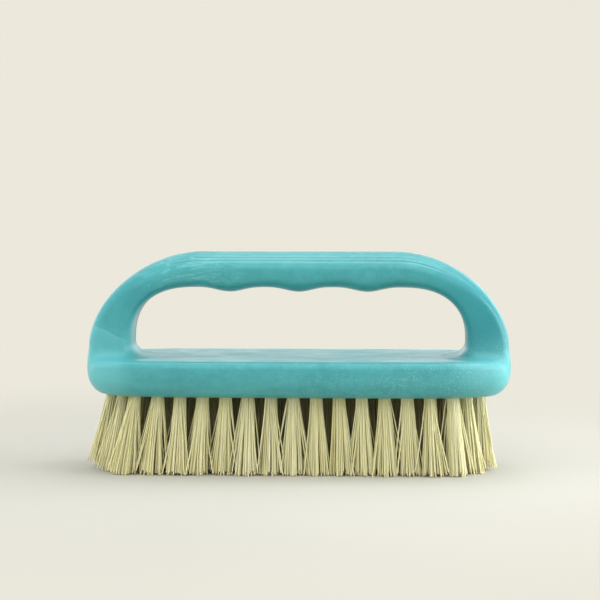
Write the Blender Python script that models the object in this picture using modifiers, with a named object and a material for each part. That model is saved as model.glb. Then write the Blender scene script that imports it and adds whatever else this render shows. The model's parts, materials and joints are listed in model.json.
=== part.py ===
"""A stiff scrub brush: a foamed plastic block and closed handle in one moulding, set with tufts.

Lengths are in metres and Z is up. X runs along the brush, the front is at -Y, and the strand
tips stand on Z = 0. The moulding is one solid: a rounded block, with a closed D handle lofted
round the finger opening. Its underside has a drilled blind hole for each tuft at the rim and a
slot for each inner row. A tuft is a six-sided root with a three-sided strand below each side.
The tufts of an inner row stand on one slice of their backing.
"""

import math

import bmesh
import bpy
import numpy as np
from mathutils import Matrix, Vector

# Block
BLOCK_LENGTH = 0.150
BLOCK_WIDTH = 0.050
BLOCK_THICKNESS = 0.0130
BOTTOM_ROUND_AT_ENDS = 0.0068
BOTTOM_ROUND_AT_SIDES = 0.0060
BOTTOM_ROUND_RISE = 0.0088
TOP_ROUND_AT_ENDS = 0.0044
TOP_ROUND_AT_SIDES = 0.0028
TOP_ROUND_DROP = 0.0028
BLOCK_OUTLINE_POWER = 4.5
BLOCK_OUTLINE_POINTS = 64
BOTTOM_ROUND_SEGMENTS = 6
TOP_ROUND_SEGMENTS = 4

# Handle: its height is that of the whole brush, and its legs stand in from the block's ends
BRUSH_HEIGHT = 0.0778
GRIP_THICKNESS = 0.0125
GRIP_DEPTH = 0.0240
LEG_DEPTH = 0.0262
LEG_INSET = 0.0006
LEG_THICKNESS = 0.0152
LEG_RISE = 0.0037
CORNER_REACH = 0.0400
CORNER_POWER = 1.88
OPENING_CORNER_REACH = 0.0231
OPENING_CORNER_POWER = 2.5
FOOT_FILLET = 0.0048
FOOT_SPREAD = 0.0010
FOOT_SEAT = 0.0048
LEG_FORM_DROP = 0.0180
CROWN_POWER = 2.1
PALM_POWER = 3.0
LEG_POWER = 4.6

# Finger bumps under the grip
FINGER_PITCH = 0.0244
FINGER_BUMP = 0.0016
BUMP_SHARPNESS = 1.5
BUMPS = 3
STATIONS_IN_PITCH = 6
CORNER_STATIONS = 9
FOOT_STATIONS = 4

# Reeds along the crown of the grip
GROOVES = 8
GROOVE_PITCH = 0.0033
GROOVE_WIDTH = 0.0011
GROOVE_DEPTH = 0.0004
GROOVE_FADE_DELAY = 0.0086
GROOVE_FADE_LENGTH = 0.0080
PALM_POINTS = 11
ARC_SAMPLES = 721

# Tufts
STRAND_LENGTH = 0.0277
STRANDS_IN_TUFT = 6
STRAND_GAP = 0.00024
ROOT_RADIUS = 0.00185
TIP_RADIUS = 0.0033
TUFT_COLLAR = 0.0004
ROOT_DEPTH = 0.0075
HOLE_SIDES = 12
FIT_GAP = 0.0003
CUT_OVERRUN = 0.0010
WELD_DISTANCE = 0.00001

# Tuft field, whose margins run from the block's edge to the axes of the outermost tufts
END_MARGIN = 0.0095
SIDE_MARGIN = 0.0110
MIDDLE_ROW_TUFTS = 17
OUTER_ROWS = 2
FIELD_SHIFT = -0.0015
ROW_STEP_IN = 0.0048
LEFT_LEAN_SHARE = 0.18
RIGHT_LEAN_SHARE = 0.12
SIDE_LEAN_SHARE = 0.04
LEAN_POWER = 1.6

# Slices of backing that carry the inner rows
SLICE_WIDTH = 0.0050
SLICE_THICKNESS = 0.0030
SLICE_ROOT_SHARE = 0.6
SLICE_END_POINTS = 8

SMOOTH_ANGLE = math.radians(38)

# Derived sizes
UNDERSIDE_Z = STRAND_LENGTH
BLOCK_TOP_Z = UNDERSIDE_Z + BLOCK_THICKNESS
GRIP_UNDERSIDE_Z = BRUSH_HEIGHT - GRIP_THICKNESS
LEG_X = BLOCK_LENGTH / 2 - LEG_INSET
LEG_TOP_Z = BLOCK_TOP_Z + LEG_RISE
CORNER_START = LEG_X - CORNER_REACH
CORNER_DROP = BRUSH_HEIGHT - LEG_TOP_Z
OPENING_HALF_LENGTH = LEG_X - LEG_THICKNESS
OPENING_CORNER_DROP = GRIP_UNDERSIDE_Z - BLOCK_TOP_Z - FOOT_FILLET
GROOVE_FADE_START = CORNER_START + GROOVE_FADE_DELAY
FIELD_HALF_LENGTH = BLOCK_LENGTH / 2 - END_MARGIN
FIELD_HALF_WIDTH = BLOCK_WIDTH / 2 - SIDE_MARGIN
ROW_PITCH = FIELD_HALF_WIDTH / OUTER_ROWS
TIP_SPREAD = TIP_RADIUS / ROOT_RADIUS
HOLE_RADIUS = (ROOT_RADIUS + FIT_GAP) / math.cos(math.pi / HOLE_SIDES)
ROW_NAMES = {-2: "front", -1: "front", 0: "middle", 1: "back", 2: "back"}


def clear_scene():
    for existing in list(bpy.data.objects):
        bpy.data.objects.remove(existing, do_unlink=True)


def new_collection(name):
    collection = bpy.data.collections.new(name)
    bpy.context.scene.collection.children.link(collection)
    return collection


def new_material(name, colour, roughness):
    material = bpy.data.materials.new(name)
    material.use_nodes = True
    material.diffuse_color = (*colour, 1)
    shader = material.node_tree.nodes["Principled BSDF"]
    shader.inputs["Base Color"].default_value = (*colour, 1)
    shader.inputs["Roughness"].default_value = roughness
    shader.inputs["Metallic"].default_value = 0
    return material


def new_object(name, bm, collection, material=None, location=(0, 0, 0)):
    """An object of the finished bmesh, with its faces turned out."""
    bmesh.ops.recalc_face_normals(bm, faces=bm.faces)
    mesh = bpy.data.meshes.new(name)
    bm.to_mesh(mesh)
    bm.free()
    made = bpy.data.objects.new(name, mesh)
    made.location = location
    collection.objects.link(made)
    if material:
        mesh.materials.append(material)
    return made


def make_helper(helper):
    """Marks a solid that only joins or cuts another one."""
    helper.hide_render = True
    helper.display_type = "WIRE"
    return helper


def signed_power(value, power):
    return math.copysign(abs(value) ** power, value)


def superellipse(half_x, half_y, power, angle):
    """The point of a superellipse at this angle, as a pair of lengths."""
    x = half_x * signed_power(math.cos(angle), 2 / power)
    y = half_y * signed_power(math.sin(angle), 2 / power)
    return x, y


def smooth_step(share):
    share = min(max(share, 0), 1)
    return share * share * (3 - 2 * share)


# The block


def block_ring(bm, end_inset, side_inset, z):
    ring = []
    for i in range(BLOCK_OUTLINE_POINTS):
        angle = math.tau * i / BLOCK_OUTLINE_POINTS
        half_length = BLOCK_LENGTH / 2 - end_inset
        half_width = BLOCK_WIDTH / 2 - side_inset
        x, y = superellipse(half_length, half_width, BLOCK_OUTLINE_POWER, angle)
        ring.append(bm.verts.new((x, y, z)))
    return ring


def bridge(bm, lower, upper):
    for i, vertex in enumerate(lower):
        before = i - 1
        bm.faces.new((lower[before], vertex, upper[i], upper[before]))


def make_block(collection, material):
    """The block, from its underside up: a full round below, a low upright wall and a rounded top."""
    bm = bmesh.new()
    wall_low = UNDERSIDE_Z + BOTTOM_ROUND_RISE
    wall_high = BLOCK_TOP_Z - TOP_ROUND_DROP
    rings = []
    for i in range(BOTTOM_ROUND_SEGMENTS + 1):
        angle = math.pi / 2 * i / BOTTOM_ROUND_SEGMENTS
        in_share, rise_share = 1 - math.sin(angle), 1 - math.cos(angle)
        rings.append(
            block_ring(
                bm,
                BOTTOM_ROUND_AT_ENDS * in_share,
                BOTTOM_ROUND_AT_SIDES * in_share,
                UNDERSIDE_Z + BOTTOM_ROUND_RISE * rise_share,
            )
        )
    for i in range(TOP_ROUND_SEGMENTS + 1):
        angle = math.pi / 2 * i / TOP_ROUND_SEGMENTS
        in_share, rise_share = 1 - math.cos(angle), math.sin(angle)
        rings.append(
            block_ring(
                bm,
                TOP_ROUND_AT_ENDS * in_share,
                TOP_ROUND_AT_SIDES * in_share,
                wall_high + TOP_ROUND_DROP * rise_share,
            )
        )
    for i in range(1, len(rings)):
        bridge(bm, rings[i - 1], rings[i])
    bm.faces.new(rings[0])
    bm.faces.new(rings[-1])
    return new_object("brush_body", bm, collection, material)


# The handle


def grip_stations():
    """Outer and inner points from the middle of the grip to where its corner starts."""
    half_length = OPENING_HALF_LENGTH - OPENING_CORNER_REACH
    steps = round(half_length / FINGER_PITCH * STATIONS_IN_PITCH)
    for i in range(steps):
        share = i / steps
        x = half_length * share
        turns = x / FINGER_PITCH
        bumps_reach = (BUMPS / 2) * FINGER_PITCH
        swell = (1 + math.cos(math.tau * turns)) / 2 if x < bumps_reach else 0
        inner = Vector((x, 0, GRIP_UNDERSIDE_Z - FINGER_BUMP * swell**BUMP_SHARPNESS))
        outer = Vector((CORNER_START * share, 0, BRUSH_HEIGHT))
        yield outer, inner


def corner_stations():
    """Outer and inner points round the corner, from the grip down to the leg."""
    for i in range(CORNER_STATIONS + 1):
        angle = math.pi / 2 * (1 - i / CORNER_STATIONS)
        x, z = superellipse(CORNER_REACH, CORNER_DROP, CORNER_POWER, angle)
        outer = Vector((CORNER_START + x, 0, LEG_TOP_Z + z))
        x, z = superellipse(
            OPENING_CORNER_REACH, OPENING_CORNER_DROP, OPENING_CORNER_POWER, angle
        )
        start = OPENING_HALF_LENGTH - OPENING_CORNER_REACH
        inner = Vector((start + x, 0, GRIP_UNDERSIDE_Z - OPENING_CORNER_DROP + z))
        yield outer, inner


def foot_stations():
    """Outer and inner points down the leg, which sweeps out into the block at its foot."""
    for i in range(1, FOOT_STATIONS + 1):
        angle = math.pi / 2 * i / (FOOT_STATIONS + 1)
        drop_share, sweep_share = math.sin(angle), 1 - math.cos(angle)
        outer = Vector((LEG_X + LEG_INSET * sweep_share, 0, LEG_TOP_Z))
        outer.z -= LEG_RISE * i / FOOT_STATIONS
        inner = Vector((OPENING_HALF_LENGTH, 0, BLOCK_TOP_Z + FOOT_FILLET))
        inner -= Vector((FOOT_FILLET * sweep_share, 0, FOOT_FILLET * drop_share))
        yield outer, inner
    seat_z = BLOCK_TOP_Z - FOOT_SEAT
    yield Vector((outer.x, 0, seat_z)), Vector((inner.x, 0, seat_z))


def section_sizes(outer, inner):
    """Half the handle's depth and the powers of its outer and inner side, from grip to foot."""
    middle_z = (outer.z + inner.z) / 2
    grip_middle_z = (BRUSH_HEIGHT + GRIP_UNDERSIDE_Z) / 2
    leg_share = smooth_step((grip_middle_z - middle_z) / LEG_FORM_DROP)
    foot_share = min(max((BLOCK_TOP_Z + FOOT_FILLET - middle_z) / FOOT_FILLET, 0), 1)
    depth = GRIP_DEPTH + (LEG_DEPTH - GRIP_DEPTH) * leg_share
    spread = FOOT_SPREAD * (1 - math.sqrt(1 - foot_share**2))
    outer_power = CROWN_POWER + (LEG_POWER - CROWN_POWER) * leg_share
    inner_power = PALM_POWER + (LEG_POWER - PALM_POWER) * leg_share
    return depth / 2 + spread, outer_power, inner_power


def crown_angles():
    """Section angles of the crown's points with the groove share of each, front to back."""
    fine = np.linspace(0, math.pi, ARC_SAMPLES)
    across = np.cos(fine) * GRIP_DEPTH / 2
    up = np.sin(fine) * GRIP_THICKNESS / 2
    arc = np.concatenate(([0], np.cumsum(np.hypot(np.diff(across), np.diff(up)))))
    places = []
    first = arc[-1] / 2 - GROOVE_PITCH * (GROOVES - 1) / 2
    for i in range(GROOVES):
        centre = first + GROOVE_PITCH * i
        places.append((centre - GROOVE_WIDTH / 2, 0))
        places.append((centre, 1))
        places.append((centre + GROOVE_WIDTH / 2, 0))
        if i < GROOVES - 1:
            places.append((centre + GROOVE_PITCH / 2, 0))
    margin = first / 2
    places = [(0, 0), (margin, 0)] + places + [(arc[-1] - margin, 0), (arc[-1], 0)]
    return [(float(np.interp(place, arc, fine)), share) for place, share in places]


def section_ring(bm, outer, inner, crown):
    """One section of the handle: a reeded crown of even height, and a flatter palm inside."""
    outward = (outer - inner).normalized()
    crown_height = GRIP_THICKNESS / 2
    palm_height = (outer - inner).length - crown_height
    centre = outer - outward * crown_height
    half_depth, outer_power, inner_power = section_sizes(outer, inner)
    fade = 1 - smooth_step((outer.x - GROOVE_FADE_START) / GROOVE_FADE_LENGTH)
    ring = []
    for angle, groove_share in crown:
        y, out = superellipse(half_depth, crown_height, outer_power, angle)
        place = Vector((0, -y, 0)) + outward * out
        place -= place.normalized() * GROOVE_DEPTH * groove_share * fade
        ring.append(bm.verts.new(centre + place))
    for i in range(1, PALM_POINTS + 1):
        angle = math.pi + math.pi * i / (PALM_POINTS + 1)
        y, out = superellipse(half_depth, palm_height, inner_power, angle)
        ring.append(bm.verts.new(centre + Vector((0, -y, 0)) + outward * out))
    return ring


def make_handle(collection):
    """The closed handle: half of it lofted from the grip's middle to the foot, and mirrored."""
    bm = bmesh.new()
    crown = crown_angles()
    stations = [*grip_stations(), *corner_stations(), *foot_stations()]
    rings = [section_ring(bm, outer, inner, crown) for outer, inner in stations]
    for i in range(1, len(rings)):
        bridge(bm, rings[i - 1], rings[i])
    bm.faces.new(rings[-1])
    handle = new_object("handle_form", bm, collection)
    mirror = handle.modifiers.new("other_half", "MIRROR")
    mirror.merge_threshold = WELD_DISTANCE
    return make_helper(handle)


# The tufts


def slopes_at(x, y):
    """How far a tuft leans for each metre that it hangs: outward, most at the ends."""
    off_centre = x - FIELD_SHIFT
    end_share = LEFT_LEAN_SHARE if off_centre < 0 else RIGHT_LEAN_SHARE
    lengthwise = end_share * (abs(off_centre) / FIELD_HALF_LENGTH) ** LEAN_POWER
    crosswise = SIDE_LEAN_SHARE * y / FIELD_HALF_WIDTH
    return math.copysign(lengthwise, off_centre), crosswise


def lean(bm, slopes):
    for vertex in bm.verts:
        vertex.co.x -= slopes[0] * vertex.co.z
        vertex.co.y -= slopes[1] * vertex.co.z


def prism(bm, radius, sides, top, bottom):
    """An upright prism with fans of triangles as its ends."""
    middle = Matrix.Translation((0, 0, (top + bottom) / 2))
    bmesh.ops.create_cone(
        bm,
        cap_ends=True,
        cap_tris=True,
        segments=sides,
        radius1=radius,
        radius2=radius,
        depth=top - bottom,
        matrix=middle,
    )


def make_tuft(name, collection, place, root_depth, material=None):
    """A tuft hung at its place in the underside: each side of its root ends in one strand."""
    bm = bmesh.new()
    prism(bm, ROOT_RADIUS, STRANDS_IN_TUFT, root_depth, -TUFT_COLLAR)
    bm.normal_update()
    ends = [face for face in bm.faces if round(face.normal.z) == -1]
    bmesh.ops.inset_individual(bm, faces=ends, thickness=STRAND_GAP / 2)
    tips = bmesh.ops.extrude_discrete_faces(bm, faces=ends)["faces"]
    for vertex in {vertex for tip in tips for vertex in tip.verts}:
        vertex.co = (vertex.co.x * TIP_SPREAD, vertex.co.y * TIP_SPREAD, -STRAND_LENGTH)
    lean(bm, slopes_at(place.x, place.y))
    return new_object(name, bm, collection, material, place)


def make_hole_cutter(name, collection, place):
    """A drill's track that clears the root of the tuft at this place, leaning with it."""
    bm = bmesh.new()
    prism(bm, HOLE_RADIUS, HOLE_SIDES, ROOT_DEPTH + FIT_GAP, -CUT_OVERRUN)
    lean(bm, slopes_at(place.x, place.y))
    return make_helper(new_object(name, bm, collection, location=place))


def row_places(row):
    """The places of a row's tufts from left to right; row 0 is the middle one."""
    count = MIDDLE_ROW_TUFTS - abs(row)
    half_length = FIELD_HALF_LENGTH - ROW_STEP_IN * abs(row)
    for i in range(count):
        x = FIELD_SHIFT + half_length * (2 * i / (count - 1) - 1)
        yield Vector((x, ROW_PITCH * row, UNDERSIDE_Z))


def make_rim_tuft(name, place, parts, cutters, material):
    make_tuft(name, parts, place, ROOT_DEPTH, material)
    make_hole_cutter("hole_of_" + name, cutters, place)


# The slices of backing


def stadium(name, collection, row, ends, half_width, bottom, top, material=None):
    """A plate along a row: straight sides and round ends, from bottom to top."""
    bm = bmesh.new()
    outline = []
    for end, turn in ((ends[1], -math.pi / 2), (ends[0], math.pi / 2)):
        for i in range(SLICE_END_POINTS + 1):
            angle = turn + math.pi * i / SLICE_END_POINTS
            x = end + half_width * math.cos(angle)
            y = ROW_PITCH * row + half_width * math.sin(angle)
            outline.append(bm.verts.new((x, y, bottom)))
    plate = bm.faces.new(outline)
    walls = bmesh.ops.extrude_face_region(bm, geom=[plate])["geom"]
    for element in walls:
        if isinstance(element, bmesh.types.BMVert):
            element.co.z = top
    return new_object(name, bm, collection, material)


def make_inner_row(row, places, parts, helpers, cutters, material):
    """An inner row: its tufts joined to one slice of backing, and the slot for that slice."""
    name = "tufts_inner_" + ROW_NAMES[row]
    ends = (places[0].x, places[-1].x)
    slice_top = UNDERSIDE_Z + SLICE_THICKNESS
    backing = stadium(
        name, parts, row, ends, SLICE_WIDTH / 2, UNDERSIDE_Z, slice_top, material
    )
    roots = new_collection("roots_" + name)
    helpers.children.link(roots)
    bpy.context.scene.collection.children.unlink(roots)
    for i, place in enumerate(places):
        tuft = make_tuft(
            f"{name}_{i + 1:02d}", roots, place, SLICE_THICKNESS * SLICE_ROOT_SHARE
        )
        make_helper(tuft)
    combine(backing, "tufts", "UNION", roots)
    slot = stadium(
        "slot_of_" + name,
        cutters,
        row,
        ends,
        SLICE_WIDTH / 2 + FIT_GAP,
        UNDERSIDE_Z - CUT_OVERRUN,
        slice_top + FIT_GAP,
    )
    make_helper(slot)


# Assembly


def combine(body, name, operation, collection):
    """Joins a collection of solids to the body, or cuts them from it."""
    boolean = body.modifiers.new(name, "BOOLEAN")
    boolean.operation = operation
    boolean.solver = "EXACT"
    boolean.operand_type = "COLLECTION"
    boolean.collection = collection


def finish_shading():
    """Shades the moulding smooth across its rounds, once its modifiers are worked out."""
    body = bpy.data.objects["brush_body"]
    graph = bpy.context.evaluated_depsgraph_get()
    whole = bpy.data.meshes.new_from_object(body.evaluated_get(graph))
    body.modifiers.clear()
    body.data = whole
    whole.shade_smooth()
    whole.set_sharp_from_angle(angle=SMOOTH_ANGLE)


def main():
    clear_scene()
    parts = new_collection("stiff_scrub_brush")
    helpers = new_collection("forming_solids")
    handle_forms = new_collection("handle_forms")
    cutters = new_collection("cutters")
    teal = new_material("teal_foamed_plastic", (0.095, 0.37, 0.37), 0.45)
    cream = new_material("cream_bristle", (0.62, 0.60, 0.36), 0.55)

    body = make_block(parts, teal)
    make_handle(handle_forms)
    combine(body, "handle", "UNION", handle_forms)
    for row in range(-OUTER_ROWS, OUTER_ROWS + 1):
        places = list(row_places(row))
        if abs(row) == OUTER_ROWS:
            for i, place in enumerate(places):
                name = f"tuft_{ROW_NAMES[row]}_{i + 1:02d}"
                make_rim_tuft(name, place, parts, cutters, cream)
            continue
        make_rim_tuft(f"tuft_left_{ROW_NAMES[row]}", places[0], parts, cutters, cream)
        make_rim_tuft(f"tuft_right_{ROW_NAMES[row]}", places[-1], parts, cutters, cream)
        make_inner_row(row, places[1:-1], parts, helpers, cutters, cream)
    combine(body, "tuft_holes", "DIFFERENCE", cutters)
    finish_shading()


main()
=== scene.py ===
"""The looks of a stiff scrub brush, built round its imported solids.

Lengths are in metres and Z is up. X runs along the brush and the front is at -Y. One fine
moulding stands for the block and handle, and five rows of filaments stand for the tufts.
"""

import json
import math
import random

import bmesh
import bpy
import numpy as np
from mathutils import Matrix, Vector
from mathutils.bvhtree import BVHTree

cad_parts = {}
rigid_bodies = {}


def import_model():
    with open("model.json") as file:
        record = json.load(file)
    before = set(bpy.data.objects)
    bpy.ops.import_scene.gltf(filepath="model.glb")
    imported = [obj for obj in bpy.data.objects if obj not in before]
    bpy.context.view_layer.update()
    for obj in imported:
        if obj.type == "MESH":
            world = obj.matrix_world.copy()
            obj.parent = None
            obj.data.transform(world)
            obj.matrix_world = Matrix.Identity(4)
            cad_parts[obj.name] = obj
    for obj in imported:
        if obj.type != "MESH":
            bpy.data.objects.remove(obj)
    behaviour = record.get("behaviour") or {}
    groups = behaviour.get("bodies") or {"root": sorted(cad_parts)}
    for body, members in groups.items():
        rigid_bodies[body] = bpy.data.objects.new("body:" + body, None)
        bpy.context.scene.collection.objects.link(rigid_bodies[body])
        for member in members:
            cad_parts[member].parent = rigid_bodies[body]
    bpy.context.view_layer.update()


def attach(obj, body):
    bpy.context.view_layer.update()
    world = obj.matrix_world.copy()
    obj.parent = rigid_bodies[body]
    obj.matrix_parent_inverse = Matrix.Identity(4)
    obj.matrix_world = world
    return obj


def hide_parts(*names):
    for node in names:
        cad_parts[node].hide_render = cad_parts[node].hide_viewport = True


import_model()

# Camera, fitted to the view from the front
LENS = 135
SENSOR = 36
AIM = Vector((0.00025, 0, 0.0605))
AZIMUTH = math.radians(2.2)
PITCH = math.radians(4.74)
DISTANCE = 0.802
CLIP_NEAR = 0.01
CLIP_FAR = 50

# Lamps: name, place, size, watts, colour, and whether they show in the sheen
LAMP_AIM = Vector((0, 0, 0.045))
LAMPS = (
    ("key", (0.45, 0.05, 0.13), (0.22, 0.16), 1.45, (0.97, 0.99, 1.0), False),
    ("right", (0.46, -0.20, 0.25), (0.36, 0.40), 1.6, (0.98, 0.99, 1.0), True),
    ("left", (-0.64, -0.24, 0.27), (1.00, 0.70), 4.9, (0.99, 0.99, 1.0), False),
    ("top", (0.08, 0.13, 0.63), (0.60, 0.60), 2.6, (0.97, 0.99, 1.0), True),
    ("front", (0.0, -0.66, 0.70), (0.70, 0.60), 1.9, (1.0, 0.99, 0.98), True),
)

# Studio: a plain background, even light, and a brighter horizon behind for the sheen alone.
# That one fades with height, and its level is (slope, value at the brush) along Y
BACKGROUND = (0.838, 0.807, 0.716)
STUDIO_COLOUR = (0.97, 0.99, 1.0)
STUDIO_LEVEL = 0.48
SHEEN_BY_HEIGHT = ((0.10, 1.25), (0.36, 0.15))
SHEEN_BY_DEPTH = (0.55, 0.60)

# Block
BLOCK_LENGTH = 0.150
BLOCK_WIDTH = 0.050
UNDERSIDE_Z = 0.0277
BLOCK_THICKNESS = 0.0130
BLOCK_TOP_Z = UNDERSIDE_Z + BLOCK_THICKNESS
BLOCK_POWER = 4.5
BLOCK_POINTS = 288
BOTTOM_REACH_X = 0.0068
BOTTOM_REACH_Y = 0.0060
BOTTOM_RISE = 0.0088
TOP_REACH_X = 0.0044
TOP_REACH_Y = 0.0028
TOP_ROUND = 0.0028
BOTTOM_STEPS = 14
TOP_STEPS = 8
TOP_RINGS = 16

# Handle
BRUSH_HEIGHT = 0.0778
GRIP_THICKNESS = 0.0125
GRIP_UNDERSIDE_Z = BRUSH_HEIGHT - GRIP_THICKNESS
GRIP_DEPTH = 0.0240
LEG_DEPTH = 0.0262
LEG_X = 0.0744
LEG_RISE = 0.0037
LEG_TOP_Z = BLOCK_TOP_Z + LEG_RISE
LEG_FORM_DROP = 0.0180
CORNER_REACH = 0.0400
CORNER_START = LEG_X - CORNER_REACH
CORNER_DROP = BRUSH_HEIGHT - LEG_TOP_Z
CORNER_POWER = 1.88
CROWN_POWER = 2.1
PALM_POWER = 3.0
LEG_POWER = 4.8
FINGER_PITCH = 0.0244
FINGER_BUMP = 0.0016
BUMP_SHARPNESS = 1.5
BUMPED_PITCHES = 1.5
GRIP_STEPS = 60
CORNER_STEPS = 48
PALM_POINTS = 48

# Finger opening and feet. Each foot's outer side sweeps out to the middle of the block's wall,
# just behind it, and the foot then ends inside the block
FOOT_FILLET = 0.0048
OPENING_HALF = 0.0592
OPENING_REACH = 0.0231
OPENING_DROP = GRIP_UNDERSIDE_Z - BLOCK_TOP_Z - FOOT_FILLET
OPENING_POWER = 2.5
FOOT_STEPS = 14
FOOT_SPREAD = 0.0010
FOOT_SWEEP = BLOCK_LENGTH / 2 - LEG_X
WALL_MIDDLE_Z = (UNDERSIDE_Z + BOTTOM_RISE + BLOCK_TOP_Z - TOP_ROUND) / 2
WALL_SHARES = (0.4, 0.8, 1)
WALL_CLEARANCE = 0.00005
FOOT_TUCK = 0.0020
FOOT_TUCK_DROP = 0.0006
FOOT_SEAT = 0.0056

# Soft fillet round the feet: where it may lie, how far it reaches, how its mesh is refined and
# eased, and how square a seam has to be for the full fillet
FEET_START_X = 0.045
FEET_LOW_Z = 0.034
FEET_HIGH_Z = 0.052
BLEND_REACH = 0.0034
REFINED_REACH = BLEND_REACH * 1.3
EASED_REACH = BLEND_REACH * 0.75
LONGEST_SEAM_EDGE = 0.0007
BLEND_PASSES = 8
EASED_PASSES = 30
LEAST_STEEPNESS = 0.6
FLAT_SEAM = 0.92
FLAT_SEAM_FADE = 0.5

# Reeds along the crown: how far each groove's line lies from the middle, along the section
GROOVES = (0.00175, 0.0053, 0.0088, 0.0107)
GROOVE_WIDTH = 0.0013
GROOVE_DEPTH = 0.00026
GROOVE_POINTS = 7
GROOVE_END = (0.039, 0.046)
GROOVE_FADE = 0.010
CROWN_SAMPLES = 1441
CROWN_GAP = 0.0006

# Round tool marks on the front of the grip: across, up, and how deep a share. Each has two
# sunk rings as (radius, depth), with a lower lip outside each
MARKS = ((-0.0244, 0.0704, 1.0), (0.0248, 0.0700, 0.5))
MARK_RINGS = ((0.00275, 0.00011), (0.0020, 0.00007))
RING_WIDTH = 0.00022
LIP_OFFSET = 0.00045
LIP_WIDTH = 0.00025
LIP_SHARE = 0.5
MARK_REACH = 0.0042
MARK_CUTS = 6
MARK_FACING = -0.2
GRIP_FRONT_Y = -0.004
LEVEL_FACING = 0.98

# Tuft field. A row is counted from the middle one, and the front one is the lowest. Each has
# the name of its piece, and the word for it in the names of its solids
ROWS = {
    -2: ("bristles_front", "front"),
    -1: ("bristles_front_inner", "front"),
    0: ("bristles_middle", "middle"),
    1: ("bristles_back_inner", "back"),
    2: ("bristles_back", "back"),
}
OUTER_ROW = 2
ROW_PITCH = 0.0070
MIDDLE_ROW_TUFTS = 17
FIELD_HALF = 0.0655
FIELD_SHIFT = -0.0015
ROW_STEP_IN = 0.0048
END_MARGIN = 0.001

# Blind holes: their profile is (height over the underside, share of the radius)
HOLE_RADIUS = 0.0022
HOLE_DEPTH = 0.0040
HOLE_SIDES = 20
HOLE_PROFILE = (
    (-0.0006, 1.25),
    (0, 1.12),
    (0.0006, 1),
    (HOLE_DEPTH, 1),
    (HOLE_DEPTH + 0.001, 0.2),
)

# How the tufts lean, as lengths sideways for each length down
LEAN = 0.10
LEAN_REACH = 0.056
LEFT_END_LEAN = 0.09
RIGHT_END_LEAN = 0.04
END_LEAN_POWER = 6
LEFT_LEAN_SHARE = 0.80
RIGHT_LEAN_SHARE = 0.55
SIDE_ROW_LEAN_SHARE = 0.05
SIDE_LEAN = 0.05
LEAN_SCATTER_X = 0.014
LEAN_SCATTER_Y = 0.012

# Tufts: their width at the root and spread at the tip, and the clumps that the tips gather in
SEED = 7100
TUFT_RADIUS = 0.00198
TIP_SPREAD = 1.98
SPREAD_RANGE = (0.92, 1.10)
SIDE_SPREAD_SHARE = 0.6
OUTER_CLUMPS = 5
CLUMP_REACH = 0.72
CLUMP_PULL = 0.32
GOLDEN_TURN = 2.39996

# Filaments
FILAMENTS = 118
FILAMENT_RADIUS = 0.00022
INNER_FILAMENTS = 62
INNER_FILAMENT_RADIUS = 0.00030
FILAMENT_SIDES = 5
FILAMENT_STEPS = 7
ROOT_RISE = 0.0012
TIP_SCATTER = 0.00028
BEND_RANGE = (1.05, 1.35)
WAVE = 0.00012
WAVE_TURN = 5

# Strays that cross to the next tuft
STRAY_SHARE = 0.07
STRAY_REACH = (0.0026, 0.0052)
STRAY_SCATTER = 0.0010
STRAY_BEND_RANGE = (0.9, 1.3)

# Tips: most end just over the floor and some are shorter. Those splayed past the block's ends
# ride up, as shares of how far they go, and left ones are held in by a share as well
TIP_RISE = 0.0021
TIP_RISE_POWER = 1.8
SHORT_SHARE = 0.12
SHORT_RISE = (0.0004, 0.0014)
LEFT_HOLD_X = -0.0725
LEFT_HOLD_SHARE = 0.35
LEFT_SPLAY_X = -0.0690
LEFT_SPLAY_RISE = 0.32
RIGHT_SPLAY_X = 0.0660
RIGHT_SPLAY_RISE = 0.24

# Shades of tufts and filaments, and painted shade for how deep in the field a filament lies:
# inner rows and roots darker, where shade falls between the tufts and under the block
TUFT_SHADE = (0.5, 0.05)
FILAMENT_SHADE_SCATTER = 0.16
INNER_PAINTED_SHADE = 0.85
ROOT_PAINTED_SHADE = 0.15
ROOT_PAINTED_SHADE_POWER = 3

# Textures: features a metre along each axis, detail, roughness and distortion
CLOUD = (28, 40, 60), 4, 0.55
STREAK = (30, 240, 330), 5, 0.6, 0.4
MOTTLE = (260, 260, 330), 4, 0.6, 0.5
SCRATCH = (170, 500, 900), 4, 0.6, 0.8
FLOW_MARK_GRAIN = (90, 90, 90), 2
SPECK_FIELD = (60, 60, 90), 3
TEAL_GLOSS = (90, 160, 160), 4
TEAL_WAVES = (60, 120, 160), 3
TEAL_GRAIN = (900, 900, 900), 2
BRISTLE_GRAIN = (1500, 1500, 90), 2
FLOOR_GRAIN = (9, 9, 9), 3
FLOOR_TOOTH = (800, 800, 800), 2

# Teal plastic. A table of stops is (value of the texture, colour or share), and a bump is
# (strength, distance)
CLOUD_COLOURS = ((0.3, (0.035, 0.270, 0.285)), (0.7, (0.058, 0.336, 0.346)))
STREAK_SHARES = ((0.45, 0), (0.65, 0.12), (0.80, 0.35))
STREAK_COLOUR = (0.16, 0.48, 0.50)
MOTTLE_SHARES = ((0.40, 0), (0.62, 0.45))
MOTTLE_COLOUR = (0.068, 0.385, 0.400)
TEAL_ROUGHNESS = ((0.3, 0.29), (0.7, 0.41))
TEAL_WAVE_BUMP = (0.25, 0.0004)
TEAL_GRAIN_BUMP = (0.10, 0.0001)
TEAL_IOR = 1.49

# Arch that the flow streaks follow round the handle
ARCH_HALF_LENGTH = 0.075
ARCH_HEIGHT = 0.037
ARCH_POWER = 4.0
ARCH_SCALE = 0.05
ARCH_ONSET = 300.0

# Scratches on the left bend, which a palm has worn
WORN_BEND = (-0.042, -0.010, 0.0715)
WORN_REACH = 0.032
WORN_SHARE = 0.55
SCRATCH_SHARES = ((0.53, 0), (0.62, 1))
WORN_COLOUR = (0.17, 0.53, 0.55)
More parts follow.
